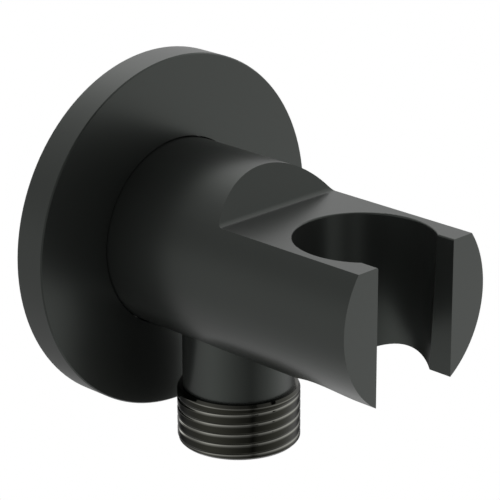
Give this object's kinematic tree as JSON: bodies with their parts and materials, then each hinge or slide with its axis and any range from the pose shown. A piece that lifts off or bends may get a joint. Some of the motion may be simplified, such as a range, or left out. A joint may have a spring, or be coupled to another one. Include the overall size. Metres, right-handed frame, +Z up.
{
  "type": "wall outlet elbow",
  "caption": "Matt black shower wall outlet elbow: a round wall plate, a horizontal bar with a tapered open-front handset cradle, and a threaded hose outlet below.",
  "frame": {"origin": "centre of the wall plate's back face, on the body bar's axis, in the plane of the finished wall", "axes": "+Y into the wall along the body bar's axis, -Y into the room, +Z up, and the hose outlet points along -Z"},
  "size_m": [0.0612, 0.0753, 0.0642],
  "materials": {
    "black_coat": "satin matt black coating on brass",
    "black_chrome": "glossy black plating on brass",
    "raw_brass": "machined, uncoated",
    "steel": "stainless steel",
    "valve_plastic": "moulded natural acetal",
    "poppet_plastic": "moulded blue acetal",
    "seal_rubber": "black rubber",
    "foam": "closed-cell foam"
  },
  "bodies": {
    "fixed": {"holder_body": "black_coat", "wall_flange": "black_coat", "outlet_nipple": "black_chrome", "wall_connector": "raw_brass", "grub_screw": "steel", "snap_ring": "steel", "valve_spring": "steel", "valve_seat_ring": "valve_plastic", "valve_cage": "valve_plastic", "valve_ring_seal": "seal_rubber", "rear_spigot_seal": "seal_rubber", "front_spigot_seal": "seal_rubber", "flange_ring_seal": "seal_rubber", "nipple_washer": "seal_rubber", "flange_gasket": "foam"},
    "poppet": {"valve_poppet": "poppet_plastic", "poppet_seal": "seal_rubber"}
  },
  "joints": [
    {"name": "poppet_slide", "type": "slide", "parent": "fixed", "child": "poppet", "axis": [0, -1, 0], "range_m": [0, 0.003], "stiffness_N_per_m": 150, "springref_m": -0.002, "deforming": ["valve_spring"]}
  ]
}
